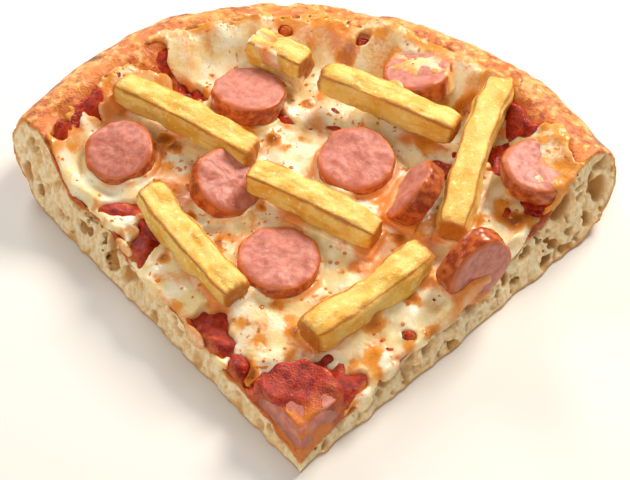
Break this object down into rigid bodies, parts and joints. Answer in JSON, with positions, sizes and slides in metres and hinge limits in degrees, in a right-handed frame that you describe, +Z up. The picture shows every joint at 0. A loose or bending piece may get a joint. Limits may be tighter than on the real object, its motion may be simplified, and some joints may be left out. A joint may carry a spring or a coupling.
{
  "type": "frankfurter and fries pizza slice",
  "caption": "Wedge of baked pizza with a thick bubbly rim, tomato sauce and melted cheese, topped with round slices of frankfurter and square-cut fries.",
  "frame": {"origin": "on the flat underside, halfway from the tip to the middle of the rim", "axes": "+X across the slice from the left cut to the right cut, +Y from the tip to the rim, +Z up from the table"},
  "size_m": [0.1884, 0.1668, 0.0318],
  "materials": {
    "baked_dough": "baked crust, golden brown with darker blisters, and a pale open crumb where it is cut",
    "tomato_sauce": "wet cooked tomato sauce",
    "melted_cheese": "glossy melted cheese with browned spots",
    "frankfurter": "moist pink meat with a glossy orange-brown skin",
    "fry": "fried potato, golden yellow with browned ends"
  },
  "bodies": {
    "root": {"dough": "baked_dough", "sauce": "tomato_sauce", "cheese": "melted_cheese", "frankfurter_1": "frankfurter", "frankfurter_2": "frankfurter", "frankfurter_3": "frankfurter", "frankfurter_4": "frankfurter", "frankfurter_5": "frankfurter", "frankfurter_6": "frankfurter", "frankfurter_7": "frankfurter", "frankfurter_8": "frankfurter", "frankfurter_9": "frankfurter", "frankfurter_10": "frankfurter", "fry_1": "fry", "fry_2": "fry", "fry_3": "fry", "fry_4": "fry", "fry_5": "fry", "fry_6": "fry", "fry_7": "fry"}
  },
  "joints": []
}
